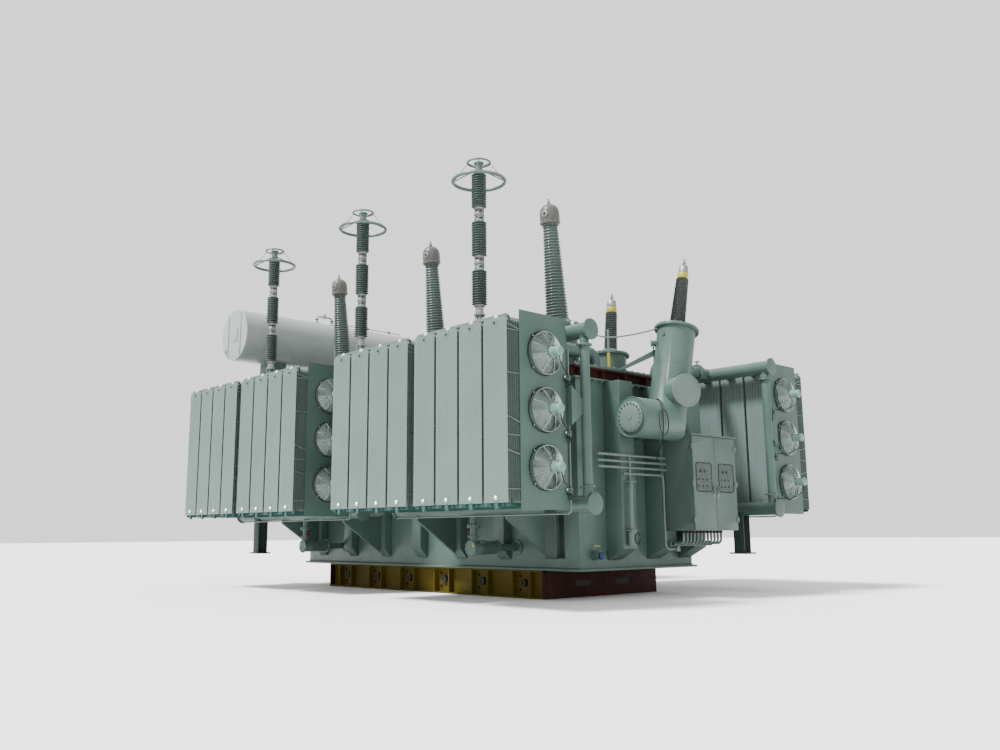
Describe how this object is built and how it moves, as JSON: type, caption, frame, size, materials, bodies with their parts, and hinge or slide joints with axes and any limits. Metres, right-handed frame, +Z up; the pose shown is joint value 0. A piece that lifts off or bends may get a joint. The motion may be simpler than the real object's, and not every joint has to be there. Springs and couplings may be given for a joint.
{
  "type": "power transformer",
  "caption": "Large oil-filled power transformer on a skid, with plate radiator banks, end fans, leaning bushings, surge arresters, a conservator and a control cabinet.",
  "frame": {"origin": "centre of the underside of the shipping skid, at ground level", "axes": "+X along the tank towards the control cabinet end, +Z up, -Y towards the high-voltage bushings and surge arresters"},
  "size_m": [11.2632, 8.586, 7.6229],
  "materials": {
    "tank_paint": "semi-gloss grey-green enamel",
    "radiator_paint": "semi-gloss grey-green enamel",
    "tie_bar_paint": "semi-gloss grey-green enamel",
    "leg_paint": "semi-gloss grey-green enamel",
    "skid_yellow": "dull dark yellow enamel",
    "red_oxide": "matte red-oxide primer",
    "hv_sheds": "glossy grey glaze",
    "mv_sheds": "glossy dark brown-grey glaze",
    "arrester_sheds": "matte blue-grey silicone rubber",
    "cast_alloy": "cast, dull",
    "ring_alloy": "satin",
    "fan_wire": "zinc plated",
    "motor_paint": "semi-gloss enamel",
    "blade_alloy": "satin",
    "cable_black": "matte",
    "small_pipe": "semi-gloss enamel"
  },
  "bodies": {
    "transformer": {"arrester_insulators": "arrester_sheds", "arrester_joints": "cast_alloy", "arrester_stands": "tank_paint", "bank_legs": "leg_paint", "bottom_headers": "tank_paint", "bushing_heads": "cast_alloy", "cabinet_body": "tank_paint", "cabinet_conduits": "tank_paint", "conduit_tray": "tank_paint", "conservator_beam": "tank_paint", "conservator_brackets": "tank_paint", "conservator_ends": "tank_paint", "conservator_pipes": "small_pipe", "conservator_saddles": "tank_paint", "conservator_shell": "tank_paint", "cover_rim": "red_oxide", "end_turret": "tank_paint", "fan_guards": "fan_wire", "fan_leads": "cable_black", "fan_motors": "motor_paint", "fan_panel_brackets": "tank_paint", "fan_panels": "tank_paint", "grading_rings": "ring_alloy", "header_brackets": "tank_paint", "header_link_pipes": "tank_paint", "hv_insulators": "hv_sheds", "hv_turrets": "tank_paint", "mv_insulators": "mv_sheds", "mv_turrets": "tank_paint", "oil_pipes": "tank_paint", "oil_pumps": "tank_paint", "radiator_necks": "tank_paint", "radiator_tie_bars": "tie_bar_paint", "radiators_front_left": "radiator_paint", "radiators_front_right": "radiator_paint", "radiators_rear_left": "radiator_paint", "radiators_rear_right": "radiator_paint", "skid_cross_beams": "red_oxide", "skid_side_beams": "skid_yellow", "tank_body": "tank_paint", "tank_cover": "tank_paint", "tank_floor": "tank_paint", "tank_stiffeners": "tank_paint", "top_headers": "tank_paint", "wall_conduits": "tank_paint", "wall_standpipe": "tank_paint"},
    "fan_rotor_front_left_1": {"fan_rotor_front_left_1": "blade_alloy"},
    "fan_rotor_front_left_2": {"fan_rotor_front_left_2": "blade_alloy"},
    "fan_rotor_front_left_3": {"fan_rotor_front_left_3": "blade_alloy"},
    "fan_rotor_front_right_1": {"fan_rotor_front_right_1": "blade_alloy"},
    "fan_rotor_front_right_2": {"fan_rotor_front_right_2": "blade_alloy"},
    "fan_rotor_front_right_3": {"fan_rotor_front_right_3": "blade_alloy"},
    "fan_rotor_rear_left_1": {"fan_rotor_rear_left_1": "blade_alloy"},
    "fan_rotor_rear_left_2": {"fan_rotor_rear_left_2": "blade_alloy"},
    "fan_rotor_rear_left_3": {"fan_rotor_rear_left_3": "blade_alloy"},
    "fan_rotor_rear_right_1": {"fan_rotor_rear_right_1": "blade_alloy"},
    "fan_rotor_rear_right_2": {"fan_rotor_rear_right_2": "blade_alloy"},
    "fan_rotor_rear_right_3": {"fan_rotor_rear_right_3": "blade_alloy"},
    "cabinet_door_left": {"cabinet_door_left": "tank_paint"},
    "cabinet_door_right": {"cabinet_door_right": "tank_paint"}
  },
  "joints": [
    {"name": "fan_spin_front_left_1", "type": "hinge", "parent": "transformer", "child": "fan_rotor_front_left_1", "pos_m": [-0.608, -3.49, 3.873], "axis": [1, 0, 0], "continuous": true},
    {"name": "fan_spin_front_left_2", "type": "hinge", "parent": "transformer", "child": "fan_rotor_front_left_2", "pos_m": [-0.608, -3.49, 2.996], "axis": [1, 0, 0], "continuous": true},
    {"name": "fan_spin_front_left_3", "type": "hinge", "parent": "transformer", "child": "fan_rotor_front_left_3", "pos_m": [-0.608, -3.49, 2.119], "axis": [1, 0, 0], "continuous": true},
    {"name": "fan_spin_front_right_1", "type": "hinge", "parent": "transformer", "child": "fan_rotor_front_right_1", "pos_m": [5.3456, -3.49, 3.873], "axis": [1, 0, 0], "continuous": true},
    {"name": "fan_spin_front_right_2", "type": "hinge", "parent": "transformer", "child": "fan_rotor_front_right_2", "pos_m": [5.3456, -3.49, 2.996], "axis": [1, 0, 0], "continuous": true},
    {"name": "fan_spin_front_right_3", "type": "hinge", "parent": "transformer", "child": "fan_rotor_front_right_3", "pos_m": [5.3456, -3.49, 2.119], "axis": [1, 0, 0], "continuous": true},
    {"name": "fan_spin_rear_left_1", "type": "hinge", "parent": "transformer", "child": "fan_rotor_rear_left_1", "pos_m": [-0.608, 3.49, 3.873], "axis": [1, 0, 0], "continuous": true},
    {"name": "fan_spin_rear_left_2", "type": "hinge", "parent": "transformer", "child": "fan_rotor_rear_left_2", "pos_m": [-0.608, 3.49, 2.996], "axis": [1, 0, 0], "continuous": true},
    {"name": "fan_spin_rear_left_3", "type": "hinge", "parent": "transformer", "child": "fan_rotor_rear_left_3", "pos_m": [-0.608, 3.49, 2.119], "axis": [1, 0, 0], "continuous": true},
    {"name": "fan_spin_rear_right_1", "type": "hinge", "parent": "transformer", "child": "fan_rotor_rear_right_1", "pos_m": [5.3456, 3.49, 3.873], "axis": [1, 0, 0], "continuous": true},
    {"name": "fan_spin_rear_right_2", "type": "hinge", "parent": "transformer", "child": "fan_rotor_rear_right_2", "pos_m": [5.3456, 3.49, 2.996], "axis": [1, 0, 0], "continuous": true},
    {"name": "fan_spin_rear_right_3", "type": "hinge", "parent": "transformer", "child": "fan_rotor_rear_right_3", "pos_m": [5.3456, 3.49, 2.119], "axis": [1, 0, 0], "continuous": true},
    {"name": "cabinet_door_left_hinge", "type": "hinge", "parent": "transformer", "child": "cabinet_door_left", "pos_m": [5.264, 0.314, 2], "axis": [0, 0, -1], "range_deg": [0, 110]},
    {"name": "cabinet_door_right_hinge", "type": "hinge", "parent": "transformer", "child": "cabinet_door_right", "pos_m": [5.264, 1.711, 2], "axis": [0, 0, 1], "range_deg": [0, 110]}
  ]
}
